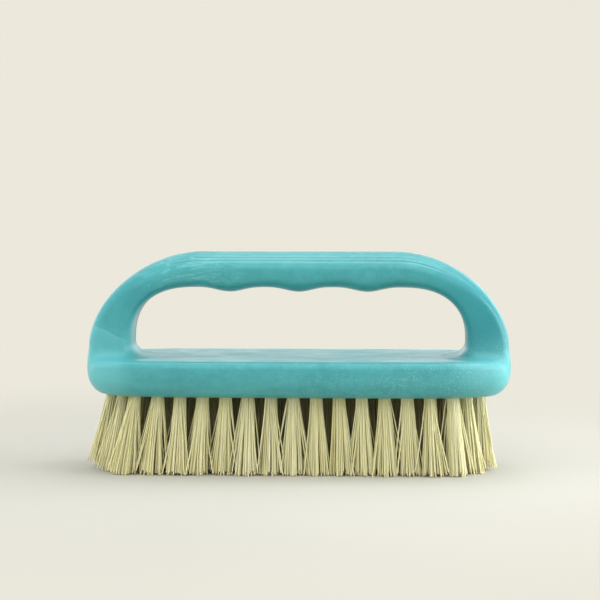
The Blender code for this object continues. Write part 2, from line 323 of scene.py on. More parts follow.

# Painted shade on the front of the legs and bends, darker where less light falls: middle,
# reach, and how much
PAINTED_SHADE_COLOUR = (0.016, 0.225, 0.255)
PAINTED_SHADE_PATCHES = (
    ((0.0655, -0.013, 0.0520), 0.023, 0.85),
    ((0.0560, -0.012, 0.0640), 0.018, 0.55),
    ((-0.0570, -0.012, 0.0620), 0.017, 0.55),
)

# Painted light on the block's ends and the left leg's inner side, paler where light and
# highlights fall, given in the same way
PAINTED_LIGHT_COLOUR = (0.13, 0.47, 0.49)
PAINTED_LIGHT_PATCHES = (
    ((0.074, -0.017, 0.0345), 0.020, 0.85),
    ((0.062, -0.022, 0.0395), 0.012, 0.70),
    ((-0.074, -0.018, 0.0310), 0.022, 0.65),
    ((-0.0570, -0.004, 0.0500), 0.013, 0.70),
)

# Faint slanting flow mark on the left leg, with painted light below it where more light falls
# on the leg:
# the mark's height at the middle plane and its slope. The band over it and the fades at its
# ends are (slope, start)
FLOW_MARK_HEIGHT = 0.0192
FLOW_MARK_SLOPE = -0.46
FLOW_MARK_WOBBLE = 0.003
FLOW_MARK_BAND = (160.0, 0.26)
FLOW_LINE_PAINTED_LIGHT_SHARES = ((0.0, 0.40), (0.44, 0.55), (0.50, 0.75), (0.53, 0), (1, 0))
FLOW_MARK_ENDS = ((-160.0, -9.2), (180.0, 13.7))

# Silvery specks: cells a metre, dot size, and the share of cells without a dot. A dot's core
# is (share of its size, how bright), and the two fades are (slope, start)
SPECKS = ((1900, 0.46, 0.52), (1200, 0.36, 0.70))
SPECK_CORE = (0.5, 0.8)
SPECK_COLOUR = (0.50, 0.76, 0.78)
SPECK_SHARE = 0.62
SPECK_FIELD_SHARES = ((0.35, 0.1), (0.65, 1))
SPECKS_TO_RIGHT = (5.5, 0.45)
SPECKS_LOW_DOWN = (-26.0, 1.6)

# Pale filament
BRISTLE_COLOURS = (
    (0.0, (0.67, 0.615, 0.28)),
    (0.35, (0.76, 0.710, 0.37)),
    (0.75, (0.83, 0.790, 0.48)),
    (1.0, (0.88, 0.850, 0.60)),
)
PAINTED_SHADE_TINTS = ((0, 1.0), (1, (0.27, 0.245, 0.150)))
BRISTLE_STREAKS = ((0.35, 0.92), (0.65, 1.0))
BRISTLE_ROUGHNESS = ((0.3, 0.36), (0.7, 0.52))
BRISTLE_BUMP = (0.2, 0.00005)
BRISTLE_IOR = 1.5
BRISTLE_GLOW = 0.15
BRISTLE_GLOW_RADIUS = (1.0, 0.9, 0.45)
BRISTLE_GLOW_SCALE = 0.0012

# Floor: lit near the brush, and fading to the plain background with the distance
FLOOR_COLOURS = ((0.3, (0.507, 0.493, 0.437)), (0.7, (0.524, 0.508, 0.452)))
FLOOR_ROUGHNESS = ((0.3, 0.85), (0.7, 0.95))
FLOOR_SPECULAR = 0.1
FLOOR_BUMP = (0.05, 0.0001)
FLOOR_CENTRE = (-0.04, 0, 0)
FLOOR_FADE = ((0.085, 0), (0.28, 1))
FLOOR_RADII = (0.05, 0.15, 0.4, 1.0, 2.5, 6.0)
FLOOR_SIDES = 48
FLOOR_Z = -0.0001

# Points closer than this are one
JOIN_DISTANCE = 1e-7

# Edges steeper than these stay sharp
BODY_SHARP_ANGLE = math.radians(40)
FILAMENT_SHARP_ANGLE = math.radians(80)


# Materials


def new_material(name):
    material = bpy.data.materials.new(name)
    material.use_nodes = True
    nodes = material.node_tree.nodes
    return material, nodes, material.node_tree.links, nodes["Principled BSDF"]


def add_node(nodes, kind, **inputs):
    made = nodes.new(kind)
    for key, value in inputs.items():
        made.inputs[key].default_value = value
    return made


def feed(links, socket, value):
    """Links a node's value to a socket, or sets the socket to a number or a colour."""
    if hasattr(value, "links"):
        links.new(value, socket)
    elif isinstance(value, (int, float)):
        socket.default_value = value
    else:
        socket.default_value = (*value, 1)


def math_node(nodes, links, operation, *values):
    """The result of a sum. That of MULTIPLY_ADD, which makes the fades, is held to 0 to 1."""
    made = nodes.new("ShaderNodeMath")
    made.operation = operation
    made.use_clamp = operation == "MULTIPLY_ADD"
    for socket, value in zip(made.inputs, values):
        feed(links, socket, value)
    return made.outputs[0]


def product(nodes, links, value, *others):
    """Values multiplied in order."""
    for other in others:
        value = math_node(nodes, links, "MULTIPLY", value, other)
    return value


def mix(nodes, links, factor, first, second, blend="MIX"):
    """Two colours mixed, each of them a node's or a plain one."""
    made = nodes.new("ShaderNodeMix")
    made.data_type = "RGBA"
    made.blend_type = blend
    for i, value in ((0, factor), (6, first), (7, second)):
        feed(links, made.inputs[i], value)
    return made.outputs[2]


def mix_shaders(nodes, links, factor, first, second):
    made = nodes.new("ShaderNodeMixShader")
    for socket, value in zip(made.inputs, (factor, first.outputs[0], second.outputs[0])):
        links.new(value, socket)
    return made.outputs[0]


def ramp(nodes, links, source, stops, ease="LINEAR"):
    """A colour ramp with stops as (place, colour or grey)."""
    made = nodes.new("ShaderNodeValToRGB")
    made.color_ramp.interpolation = ease
    steps = made.color_ramp.elements
    while len(steps) < len(stops):
        steps.new(0.5)
    for step, (place, colour) in zip(steps, stops):
        step.position = place
        step.color = (*((colour,) * 3 if isinstance(colour, (int, float)) else colour), 1)
    links.new(source, made.inputs["Fac"])
    return made.outputs["Color"]


def mapped(nodes, links, scale, source=None):
    """Object coordinates, or the given ones, stretched by a scale for each axis."""
    where = nodes.new("ShaderNodeTexCoord")
    mapping = nodes.new("ShaderNodeMapping")
    mapping.inputs["Scale"].default_value = scale
    links.new(source or where.outputs["Object"], mapping.inputs["Vector"])
    return mapping.outputs["Vector"]


def noise(nodes, links, scale, detail, rough=0.5, distortion=0.0, source=None):
    """A noise value whose grain is given by a scale for each axis, in features a metre."""
    made = nodes.new("ShaderNodeTexNoise")
    made.inputs["Scale"].default_value = 1
    made.inputs["Detail"].default_value = detail
    made.inputs["Roughness"].default_value = rough
    made.inputs["Distortion"].default_value = distortion
    links.new(mapped(nodes, links, scale, source), made.inputs["Vector"])
    return made.outputs["Fac"]


def bump(nodes, links, height, strength, distance, after=None):
    """A normal bent by a height, on top of an earlier bump's normal where one is given."""
    made = nodes.new("ShaderNodeBump")
    made.inputs["Strength"].default_value = strength
    made.inputs["Distance"].default_value = distance
    links.new(height, made.inputs["Height"])
    if after:
        links.new(after, made.inputs["Normal"])
    return made.outputs["Normal"]


def split_place(nodes, links, kind="Object"):
    """A node whose outputs X, Y and Z are the coordinates of the shaded place."""
    where = nodes.new("ShaderNodeTexCoord")
    split = nodes.new("ShaderNodeSeparateXYZ")
    links.new(where.outputs[kind], split.inputs[0])
    return split


def distance_from(nodes, links, point):
    """How far the shaded place is from a point of the object."""
    where = nodes.new("ShaderNodeTexCoord")
    apart = nodes.new("ShaderNodeVectorMath")
    apart.operation = "DISTANCE"
    links.new(where.outputs["Object"], apart.inputs[0])
    apart.inputs[1].default_value = point
    return apart.outputs["Value"]


def near_point(nodes, links, point, reach):
    """1 at a point of the object, falling to 0 at the reach from it."""
    share = math_node(nodes, links, "DIVIDE", distance_from(nodes, links, point), reach)
    return ramp(nodes, links, share, ((0, 1), (1, 0)), "EASE")


def stored_value(nodes, name):
    """A value that the mesh keeps for each of its points."""
    made = nodes.new("ShaderNodeAttribute")
    made.attribute_name = name
    return made.outputs["Fac"]


def flow_vector(nodes, links):
    """Object coordinates whose height runs from the block up and then out round the handle."""
    split = split_place(nodes, links)
    across = math_node(nodes, links, "DIVIDE", split.outputs["X"], ARCH_HALF_LENGTH)
    across = math_node(nodes, links, "ABSOLUTE", across)
    across = math_node(nodes, links, "POWER", across, ARCH_POWER)
    above = math_node(nodes, links, "SUBTRACT", split.outputs["Z"], BLOCK_TOP_Z)
    up = math_node(nodes, links, "MAXIMUM", above, 0.0)
    up = math_node(nodes, links, "DIVIDE", up, ARCH_HEIGHT)
    up = math_node(nodes, links, "POWER", up, ARCH_POWER)
    arch = math_node(nodes, links, "ADD", across, up)
    arch = math_node(nodes, links, "POWER", arch, 1 / ARCH_POWER)
    arch = math_node(nodes, links, "MULTIPLY", arch, ARCH_SCALE)
    blend = math_node(nodes, links, "MULTIPLY_ADD", above, ARCH_ONSET, 0.0)
    height = nodes.new("ShaderNodeMix")
    for i, value in ((0, blend), (2, split.outputs["Z"]), (3, arch)):
        links.new(value, height.inputs[i])
    join = nodes.new("ShaderNodeCombineXYZ")
    for i, value in enumerate((split.outputs["X"], split.outputs["Y"], height.outputs[0])):
        links.new(value, join.inputs[i])
    return join.outputs[0]


def flow_line_and_painted_light(nodes, links, split, colour):
    """A faint slanting line across the left leg's front, with painted light below it: paler
    plastic where more light falls.
    """
    slant = math_node(nodes, links, "MULTIPLY", split.outputs["X"], FLOW_MARK_SLOPE)
    above = math_node(nodes, links, "SUBTRACT", split.outputs["Z"], FLOW_MARK_HEIGHT)
    above = math_node(nodes, links, "SUBTRACT", above, slant)
    wobble = product(nodes, links, noise(nodes, links, *FLOW_MARK_GRAIN), FLOW_MARK_WOBBLE)
    above = math_node(nodes, links, "ADD", above, wobble)
    band = math_node(nodes, links, "MULTIPLY_ADD", above, *FLOW_MARK_BAND)
    share = ramp(nodes, links, band, FLOW_LINE_PAINTED_LIGHT_SHARES)
    for slope, start in FLOW_MARK_ENDS:
        end = math_node(nodes, links, "MULTIPLY_ADD", split.outputs["X"], slope, start)
        share = math_node(nodes, links, "MULTIPLY", share, end)
    return mix(nodes, links, share, colour, PAINTED_LIGHT_COLOUR)


def tinted(nodes, links, colour, places, tint):
    """A colour that turns to a tint round each place, given as (middle, reach, how much)."""
    for point, reach, most in places:
        share = product(nodes, links, near_point(nodes, links, point, reach), most)
        colour = mix(nodes, links, share, colour, tint)
    return colour


def specks(nodes, links, scale, size):
    """Small scattered dots, fading from 1 to 0 at their size, and a random value for each."""
    cells = nodes.new("ShaderNodeTexVoronoi")
    cells.inputs["Scale"].default_value = scale
    cells.inputs["Randomness"].default_value = 1
    links.new(mapped(nodes, links, (1, 1, 1)), cells.inputs["Vector"])
    stops = ((0, 1), (size * SPECK_CORE[0], SPECK_CORE[1]), (size, 0))
    dots = ramp(nodes, links, cells.outputs["Distance"], stops)
    chosen = nodes.new("ShaderNodeSeparateColor")
    links.new(cells.outputs["Color"], chosen.inputs["Color"])
    return dots, chosen.outputs["Red"]


def speckled(nodes, links, split, colour):
    """A colour with silvery specks, in patches, and more of them to the right and low down."""
    right = math_node(nodes, links, "MULTIPLY_ADD", split.outputs["X"], *SPECKS_TO_RIGHT)
    low = math_node(nodes, links, "MULTIPLY_ADD", split.outputs["Z"], *SPECKS_LOW_DOWN)
    patch = ramp(nodes, links, noise(nodes, links, *SPECK_FIELD), SPECK_FIELD_SHARES)
    amount = product(nodes, links, right, low, patch)
    for scale, size, empty in SPECKS:
        dots, chosen = specks(nodes, links, scale, size)
        shown = math_node(nodes, links, "GREATER_THAN", chosen, empty)
        share = product(nodes, links, dots, shown, amount, SPECK_SHARE)
        colour = mix(nodes, links, share, colour, SPECK_COLOUR)
    return colour


def teal_plastic():
    """Foamed plastic: cloudy teal with flow streaks, a silvery speckle of burst bubbles, and
    patches of painted shade and painted light.
    """
    material, nodes, links, shader = new_material("teal_foamed_plastic")
    colour = ramp(nodes, links, noise(nodes, links, *CLOUD), CLOUD_COLOURS)
    streak = noise(nodes, links, *STREAK, source=flow_vector(nodes, links))
    streaks = ramp(nodes, links, streak, STREAK_SHARES)
    colour = mix(nodes, links, streaks, colour, STREAK_COLOUR)
    mottles = ramp(nodes, links, noise(nodes, links, *MOTTLE), MOTTLE_SHARES)
    colour = mix(nodes, links, mottles, colour, MOTTLE_COLOUR)
    scratch = noise(nodes, links, *SCRATCH, source=flow_vector(nodes, links))
    scratches = ramp(nodes, links, scratch, SCRATCH_SHARES)
    worn = near_point(nodes, links, WORN_BEND, WORN_REACH)
    worn = product(nodes, links, worn, WORN_SHARE, scratches)
    colour = mix(nodes, links, worn, colour, WORN_COLOUR)
    # Painted shade: the fronts of the legs and bends darkened where less light falls
    colour = tinted(nodes, links, colour, PAINTED_SHADE_PATCHES, PAINTED_SHADE_COLOUR)
    split = split_place(nodes, links)
    # Painted light below the flow mark on the left leg, where more light falls
    colour = flow_line_and_painted_light(nodes, links, split, colour)
    # Painted light: the block's ends and the left leg's inner side made paler where light and
    # highlights fall
    colour = tinted(nodes, links, colour, PAINTED_LIGHT_PATCHES, PAINTED_LIGHT_COLOUR)
    colour = speckled(nodes, links, split, colour)
    links.new(colour, shader.inputs["Base Color"])
    rough = ramp(nodes, links, noise(nodes, links, *TEAL_GLOSS), TEAL_ROUGHNESS)
    links.new(rough, shader.inputs["Roughness"])
    normal = bump(nodes, links, noise(nodes, links, *TEAL_WAVES), *TEAL_WAVE_BUMP)
    normal = bump(nodes, links, noise(nodes, links, *TEAL_GRAIN), *TEAL_GRAIN_BUMP, normal)
    links.new(normal, shader.inputs["Normal"])
    shader.inputs["IOR"].default_value = TEAL_IOR
    return material


def cream_bristle():
    """Pale filament: each one has its own shade, and painted shade darkens the inner rows and
    the root ends.
    """
    material, nodes, links, shader = new_material("cream_bristle")
    colour = ramp(nodes, links, stored_value(nodes, "shade"), BRISTLE_COLOURS)
    # Painted shade: the inner rows and root ends darkened, as by the shade between the tufts
    # and under the block
    tint = ramp(nodes, links, stored_value(nodes, "inside"), PAINTED_SHADE_TINTS)
    colour = mix(nodes, links, 1.0, colour, tint, "MULTIPLY")
    along = noise(nodes, links, *BRISTLE_GRAIN)
    streaks = ramp(nodes, links, along, BRISTLE_STREAKS)
    colour = mix(nodes, links, 1.0, colour, streaks, "MULTIPLY")
    links.new(colour, shader.inputs["Base Color"])
    links.new(ramp(nodes, links, along, BRISTLE_ROUGHNESS), shader.inputs["Roughness"])
    links.new(bump(nodes, links, along, *BRISTLE_BUMP), shader.inputs["Normal"])
    shader.inputs["IOR"].default_value = BRISTLE_IOR
    shader.inputs["Subsurface Weight"].default_value = BRISTLE_GLOW
    shader.inputs["Subsurface Radius"].default_value = BRISTLE_GLOW_RADIUS
    shader.inputs["Subsurface Scale"].default_value = BRISTLE_GLOW_SCALE
    return material


def floor_paper():
    """Pale floor: lit and shaded near the brush, and plain background colour far from it."""
    material, nodes, links, shader = new_material("floor_paper")
    grain = noise(nodes, links, *FLOOR_GRAIN)
    links.new(ramp(nodes, links, grain, FLOOR_COLOURS), shader.inputs["Base Color"])
    links.new(ramp(nodes, links, grain, FLOOR_ROUGHNESS), shader.inputs["Roughness"])
    shader.inputs["Specular IOR Level"].default_value = FLOOR_SPECULAR
    tooth = noise(nodes, links, *FLOOR_TOOTH)
    links.new(bump(nodes, links, tooth, *FLOOR_BUMP), shader.inputs["Normal"])
    apart = distance_from(nodes, links, FLOOR_CENTRE)
    far = ramp(nodes, links, apart, FLOOR_FADE, "EASE")
    path = nodes.new("ShaderNodeLightPath")
    rays = [path.outputs[f"Is {kind} Ray"] for kind in ("Camera", "Glossy")]
    share = product(nodes, links, math_node(nodes, links, "MAXIMUM", *rays), far)
    glow = add_node(nodes, "ShaderNodeEmission", Strength=1.0, Color=(*BACKGROUND, 1))
    both = mix_shaders(nodes, links, share, shader, glow)
    links.new(both, nodes["Material Output"].inputs["Surface"])
    return material


# Mesh helpers


def superellipse(half_x, half_y, power, angle):
    cosine, sine = math.cos(angle), math.sin(angle)
    x = half_x * math.copysign(abs(cosine) ** (2 / power), cosine)
    y = half_y * math.copysign(abs(sine) ** (2 / power), sine)
    return x, y


def circle(x, y, z, radius, sides):
    turns = [math.tau * i / sides for i in range(sides)]
    return [(x + radius * math.cos(turn), y + radius * math.sin(turn), z) for turn in turns]


def smooth_step(share):
    """A share held to 0 to 1, with a soft start and end."""
    share = min(max(share, 0), 1)
    return share * share * (3 - 2 * share)


def new_piece(name, mesh, material):
    piece = bpy.data.objects.new(name, mesh)
    bpy.context.scene.collection.objects.link(piece)
    mesh.materials.append(material)
    return piece


def bridge_rings(bm, rings):
    """Adds closed rings of points, and the faces between each ring and the next."""
    made = [[bm.verts.new(point) for point in ring] for ring in rings]
    for lower, upper in zip(made, made[1:]):
        for i, vertex in enumerate(lower):
            bm.faces.new((lower[i - 1], vertex, upper[i], upper[i - 1]))
    return made


def mesh_of_rings(name, rings):
    """A closed mesh from rings of points, bridged in order and capped at both ends."""
    bm = bmesh.new()
    made = bridge_rings(bm, rings)
    bm.faces.new(made[0])
    bm.faces.new(made[-1])
    bmesh.ops.remove_doubles(bm, verts=bm.verts, dist=JOIN_DISTANCE)
    bmesh.ops.recalc_face_normals(bm, faces=bm.faces)
    mesh = bpy.data.meshes.new(name)
    bm.to_mesh(mesh)
    bm.free()
    return mesh


# The moulding


def block_ring(inset_x, inset_y, z):
    half_x, half_y = BLOCK_LENGTH / 2 - inset_x, BLOCK_WIDTH / 2 - inset_y
    turns = [math.tau * i / BLOCK_POINTS for i in range(BLOCK_POINTS)]
    return [(*superellipse(half_x, half_y, BLOCK_POWER, turn), z) for turn in turns]


def block_mesh():
    """The block: a rounded underside, a short wall, a rounded edge and a flat top."""
    rings = []
    for i in range(BOTTOM_STEPS + 1):
        turn = math.pi / 2 * i / BOTTOM_STEPS
        inset = 1 - math.sin(turn)
        z = UNDERSIDE_Z + BOTTOM_RISE * (1 - math.cos(turn))
        rings.append(block_ring(BOTTOM_REACH_X * inset, BOTTOM_REACH_Y * inset, z))
    for i in range(TOP_STEPS + 1):
        turn = math.pi / 2 * i / TOP_STEPS
        inset = 1 - math.cos(turn)
        z = BLOCK_TOP_Z - TOP_ROUND + TOP_ROUND * math.sin(turn)
        rings.append(block_ring(TOP_REACH_X * inset, TOP_REACH_Y * inset, z))
    for i in range(1, TOP_RINGS):
        inset = TOP_REACH_Y + (BLOCK_WIDTH / 2 - TOP_REACH_Y) * i / TOP_RINGS
        rings.append(block_ring(inset + TOP_REACH_X - TOP_REACH_Y, inset, BLOCK_TOP_Z))
    return mesh_of_rings("block_form", rings)


def foot_reach(z):
    """How far a foot's outer side has swept out past the leg at this height."""
    return FOOT_SWEEP * math.sin(math.pi / 2 * (LEG_TOP_Z - z) / (LEG_TOP_Z - WALL_MIDDLE_Z))


def handle_stations():
    """Outer and inner points of the handle, from the middle of the grip down to the foot."""
    half = OPENING_HALF - OPENING_REACH
    for i in range(GRIP_STEPS):
        share = i / GRIP_STEPS
        x = half * share
        swell = 0
        if x < BUMPED_PITCHES * FINGER_PITCH:
            swell = (1 + math.cos(math.tau * x / FINGER_PITCH)) / 2
        inner = Vector((x, 0, GRIP_UNDERSIDE_Z - FINGER_BUMP * swell**BUMP_SHARPNESS))
        yield Vector((CORNER_START * share, 0, BRUSH_HEIGHT)), inner
    for i in range(CORNER_STEPS + 1):
        turn = math.pi / 2 * (1 - i / CORNER_STEPS)
        x, z = superellipse(CORNER_REACH, CORNER_DROP, CORNER_POWER, turn)
        outer = Vector((CORNER_START + x, 0, LEG_TOP_Z + z))
        x, z = superellipse(OPENING_REACH, OPENING_DROP, OPENING_POWER, turn)
        yield outer, Vector((half + x, 0, GRIP_UNDERSIDE_Z - OPENING_DROP + z))
    for i in range(1, FOOT_STEPS + 1):
        # The fillet stops half a step short of level
        turn = math.pi / 2 * i / (FOOT_STEPS + 0.5)
        outer = Vector((0, 0, LEG_TOP_Z + (BLOCK_TOP_Z - LEG_TOP_Z) * i / FOOT_STEPS))
        outer.x = LEG_X + foot_reach(outer.z)
        inner = Vector((OPENING_HALF, 0, BLOCK_TOP_Z + FOOT_FILLET))
        inner -= Vector((FOOT_FILLET * (1 - math.cos(turn)), 0, FOOT_FILLET * math.sin(turn)))
        yield outer, inner
    for share in WALL_SHARES:
        z = BLOCK_TOP_Z + (WALL_MIDDLE_Z - BLOCK_TOP_Z) * share
        outer = Vector((LEG_X + foot_reach(z) - WALL_CLEARANCE, 0, z))
        yield outer, Vector((inner.x, 0, z))
    for z in (WALL_MIDDLE_Z - FOOT_TUCK_DROP, BLOCK_TOP_Z - FOOT_SEAT):
        yield Vector((LEG_X - FOOT_TUCK, 0, z)), Vector((inner.x, 0, z))


def crown_places():
    """Places round the crown as (angle, groove depth share), dense across each groove."""
    fine = np.linspace(0, math.pi, CROWN_SAMPLES)
    across = np.cos(fine) * GRIP_DEPTH / 2
    up = np.sin(fine) * GRIP_THICKNESS / 2
    arc = np.concatenate(([0], np.cumsum(np.hypot(np.diff(across), np.diff(up)))))
    middle = arc[-1] / 2
    centres = sorted([middle - g for g in GROOVES] + [middle + g for g in GROOVES])
    places = []
    for centre in centres:
        for i in range(GROOVE_POINTS):
            off = 2 * i / (GROOVE_POINTS - 1) - 1
            places.append((centre + off * GROOVE_WIDTH / 2, (1 + math.cos(math.pi * off)) / 2))
    edges = [0] + [c + s * GROOVE_WIDTH / 2 for c in centres for s in (-1, 1)] + [arc[-1]]
    for low, high in zip(edges[::2], edges[1::2]):
        count = max(2, round((high - low) / CROWN_GAP))
        first = 0 if low == 0 else 1
        last = count + 1 if high == arc[-1] else count
        places += [(low + (high - low) * i / count, 0) for i in range(first, last)]
    places.sort()
    return [(float(np.interp(place, arc, fine)), share) for place, share in places]


def section_ring(outer, inner, crown, side):
    """One section of the handle: a reeded crown of even height, and a flatter palm inside."""
    outward = (outer - inner).normalized()
    crown_height = GRIP_THICKNESS / 2
    palm_height = (outer - inner).length - crown_height
    centre = outer - outward * crown_height
    middle_z = (outer.z + inner.z) / 2
    grip_middle_z = (BRUSH_HEIGHT + GRIP_UNDERSIDE_Z) / 2
    leg_share = smooth_step((grip_middle_z - middle_z) / LEG_FORM_DROP)
    foot_share = min(max((BLOCK_TOP_Z + FOOT_FILLET - middle_z) / FOOT_FILLET, 0), 1)
    half_depth = (GRIP_DEPTH + (LEG_DEPTH - GRIP_DEPTH) * leg_share) / 2
    half_depth += FOOT_SPREAD * (1 - math.sqrt(1 - foot_share**2))
    outer_power = CROWN_POWER + (LEG_POWER - CROWN_POWER) * leg_share
    inner_power = PALM_POWER + (LEG_POWER - PALM_POWER) * leg_share
    fade = 1 - smooth_step((outer.x - GROOVE_END[side > 0]) / GROOVE_FADE)
    ring = []
    for angle, share in crown:
        y, out = superellipse(half_depth, crown_height, outer_power, angle)
        place = Vector((0, -y, 0)) + outward * out
        place -= place.normalized() * GROOVE_DEPTH * share * fade
        ring.append(centre + place)
    for i in range(1, PALM_POINTS):
        turn = math.pi * (1 + i / PALM_POINTS)
        y, out = superellipse(half_depth, palm_height, inner_power, turn)
        ring.append(centre + Vector((0, -y, 0)) + outward * out)
    return [(p.x * side, p.y, p.z) for p in ring]


def handle_mesh():
    crown = crown_places()
    stations = list(handle_stations())
    left = [section_ring(outer, inner, crown, -1) for outer, inner in reversed(stations)]
    right = [section_ring(outer, inner, crown, 1) for outer, inner in stations[1:]]
    return mesh_of_rings("handle_form", left + right)


def slopes_at(x, y):
    """How far a tuft leans along and across the brush for each metre that it hangs."""
    off = x - FIELD_SHIFT
    share = min(abs(off) / LEAN_REACH, 1)
    end = LEFT_END_LEAN if off < 0 else RIGHT_END_LEAN
    inner = LEFT_LEAN_SHARE if off < 0 else RIGHT_LEAN_SHARE
    inner += SIDE_ROW_LEAN_SHARE * min(abs(y) / ROW_PITCH, 1)
    along = (LEAN * share + end * share**END_LEAN_POWER) * inner
    return math.copysign(along, off), SIDE_LEAN * y / (OUTER_ROW * ROW_PITCH)


def row_places(row):
    """Middles of a row's tufts. Each row out from the middle one has one tuft less."""
    count = MIDDLE_ROW_TUFTS - abs(row)
    half = FIELD_HALF - ROW_STEP_IN * abs(row)
    shares = [2 * i / (count - 1) - 1 for i in range(count)]
    return [(FIELD_SHIFT + half * share, ROW_PITCH * row) for share in shares]


def hole_mesh(x, y):
    """A drilled hole with a slightly countersunk mouth, leaning with its tuft."""
    lean_x, lean_y = slopes_at(x, y)
    rings = []
    for z, share in HOLE_PROFILE:
        middle_x, middle_y = x - lean_x * z, y - lean_y * z
        radius = HOLE_RADIUS * share
        rings.append(circle(middle_x, middle_y, UNDERSIDE_Z + z, radius, HOLE_SIDES))
    return mesh_of_rings("hole_form", rings)


def combine(body, operation, collection):
    boolean = body.modifiers.new(operation.lower(), "BOOLEAN")
    boolean.operation = operation
    boolean.solver = "EXACT"
    boolean.operand_type = "COLLECTION"
    boolean.collection = collection


def tree_of(mesh):
    bm = bmesh.new()
    bm.from_mesh(mesh)
    tree = BVHTree.FromBMesh(bm)
    bm.free()
    return tree


def outside(tree, point):
    """Distance of a point from a solid's skin, 0 inside it, and the skin's normal there."""
    place, normal, _, distance = tree.find_nearest(point)
    return (distance if (point - place).dot(normal) > 0 else 0), normal


def near_feet(point):
    return abs(point.x) > FEET_START_X and FEET_LOW_Z < point.z < FEET_HIGH_Z


def refine_seam(bm, handle, block):
    """Splits the long edges near the seam, so that the fillet has points to move."""
    chosen = set()
    for vertex in bm.verts:
        if near_feet(vertex.co):
            apart = max(outside(handle, vertex.co)[0], outside(block, vertex.co)[0])
            if apart < REFINED_REACH:
                chosen.add(vertex)
    edges = [e for e in bm.edges if e.verts[0] in chosen and e.verts[1] in chosen]
    edges = [e for e in edges if e.calc_length() > LONGEST_SEAM_EDGE]
    bmesh.ops.subdivide_edges(bm, edges=edges, cuts=1, use_grid_fill=True)
    bmesh.ops.triangulate(bm, faces=[f for f in bm.faces if len(f.verts) > 4])


def blend_feet(mesh, handle, block):
    """Fills the crease where the feet meet the block with a small soft fillet."""
    bm = bmesh.new()
    bm.from_mesh(mesh)
    refine_seam(bm, handle, block)
    moved, eased = [], []
    for vertex in bm.verts:
        if not near_feet(vertex.co):
            continue
        to_handle, handle_way = outside(handle, vertex.co)
        to_block, block_way = outside(block, vertex.co)
        share = max(0, 1 - max(to_handle, to_block) / BLEND_REACH)
        if share:
            way = handle_way * (1 - to_handle / BLEND_REACH)
            way += block_way * (1 - to_block / BLEND_REACH)
            steep = way.length / (2 - (to_handle + to_block) / BLEND_REACH)
            square = smooth_step((FLAT_SEAM - handle_way.dot(block_way)) / FLAT_SEAM_FADE)
            lift = BLEND_REACH / 4 * share * share * square / max(steep, LEAST_STEEPNESS)
            vertex.co += way.normalized() * lift
            moved.append(vertex)
        if max(to_handle, to_block) < EASED_REACH:
            eased.append(vertex)
    for verts, passes in ((moved, BLEND_PASSES), (eased, EASED_PASSES)):
        for _ in range(passes):
            bmesh.ops.smooth_vert(
                bm, verts=verts, factor=0.5, use_axis_x=True, use_axis_y=True, use_axis_z=True
            )
    for vertex in moved:
        vertex.co.x = max(min(vertex.co.x, BLOCK_LENGTH / 2), -BLOCK_LENGTH / 2)
    bm.to_mesh(mesh)
    bm.free()


def mark_depth(offset):
    """Height of a round tool mark's skin at this distance from its centre."""
    height = 0
    for radius, depth in MARK_RINGS:
        sunk = (offset - radius) / RING_WIDTH
        lip = (offset - radius - LIP_OFFSET) / LIP_WIDTH
        height -= depth * math.exp(-(sunk**2))
        height += depth * LIP_SHARE * math.exp(-(lip**2))
    return height


def press_marks(mesh):
    """Presses the double rings that two round mould pins leave in the front of the grip."""
    bm = bmesh.new()
    bm.from_mesh(mesh)
    for x, z, depth in MARKS:
        centre = Vector((x, 0, z))
        edges = set()
        for face in bm.faces:
            middle = face.calc_center_median()
            off = Vector((middle.x - centre.x, 0, middle.z - centre.z)).length
            at_front = middle.y < GRIP_FRONT_Y and face.normal.y < MARK_FACING
            if at_front and off < MARK_REACH:
                edges.update(face.edges)
        bmesh.ops.subdivide_edges(bm, edges=list(edges), cuts=MARK_CUTS, use_grid_fill=True)
        # The block's level faces, which have holes or many sides, stay as they are
        ragged = [f for f in bm.faces if len(f.verts) > 4 and abs(f.normal.z) < LEVEL_FACING]
        bmesh.ops.triangulate(bm, faces=ragged)
        bm.normal_update()
        for vertex in bm.verts:
            off = math.hypot(vertex.co.x - x, vertex.co.z - z)
            if vertex.co.y < GRIP_FRONT_Y and off < MARK_REACH:
                vertex.co += vertex.normal * mark_depth(off) * depth
    bm.to_mesh(mesh)
    bm.free()


def make_body(material):
    """The block and handle joined, with holes, soft seams and tool marks."""
    handles = bpy.data.collections.new("handle_forms")
    holes = bpy.data.collections.new("hole_forms")
    handles.objects.link(bpy.data.objects.new("handle_form", handle_mesh()))
    for row in ROWS:
        for x, y in row_places(row):
            holes.objects.link(bpy.data.objects.new("hole_form", hole_mesh(x, y)))
    body = new_piece("scrub_body", block_mesh(), material)
    handle_tree, block_tree = tree_of(handles.objects[0].data), tree_of(body.data)
    combine(body, "UNION", handles)
    combine(body, "DIFFERENCE", holes)
    graph = bpy.context.evaluated_depsgraph_get()
    whole = bpy.data.meshes.new_from_object(body.evaluated_get(graph))
    body.modifiers.clear()
    body.data = whole
    for helper in [*handles.objects, *holes.objects]:
        bpy.data.objects.remove(helper)
    blend_feet(whole, handle_tree, block_tree)
    press_marks(whole)
    whole.shade_smooth()
    whole.set_sharp_from_angle(angle=BODY_SHARP_ANGLE)
    return body


# The filaments


def tip_clumps(first_turn, spread):
    """Points that a tuft's tips gather at: a ring of them, and one in the middle."""
    clumps = []
    for i in range(OUTER_CLUMPS + 1):
        turn = first_turn + math.tau * i / OUTER_CLUMPS
        reach = 0 if i == OUTER_CLUMPS else TUFT_RADIUS * spread * CLUMP_REACH
        clumps.append(Vector((math.cos(turn), math.sin(turn))) * reach)
    return clumps


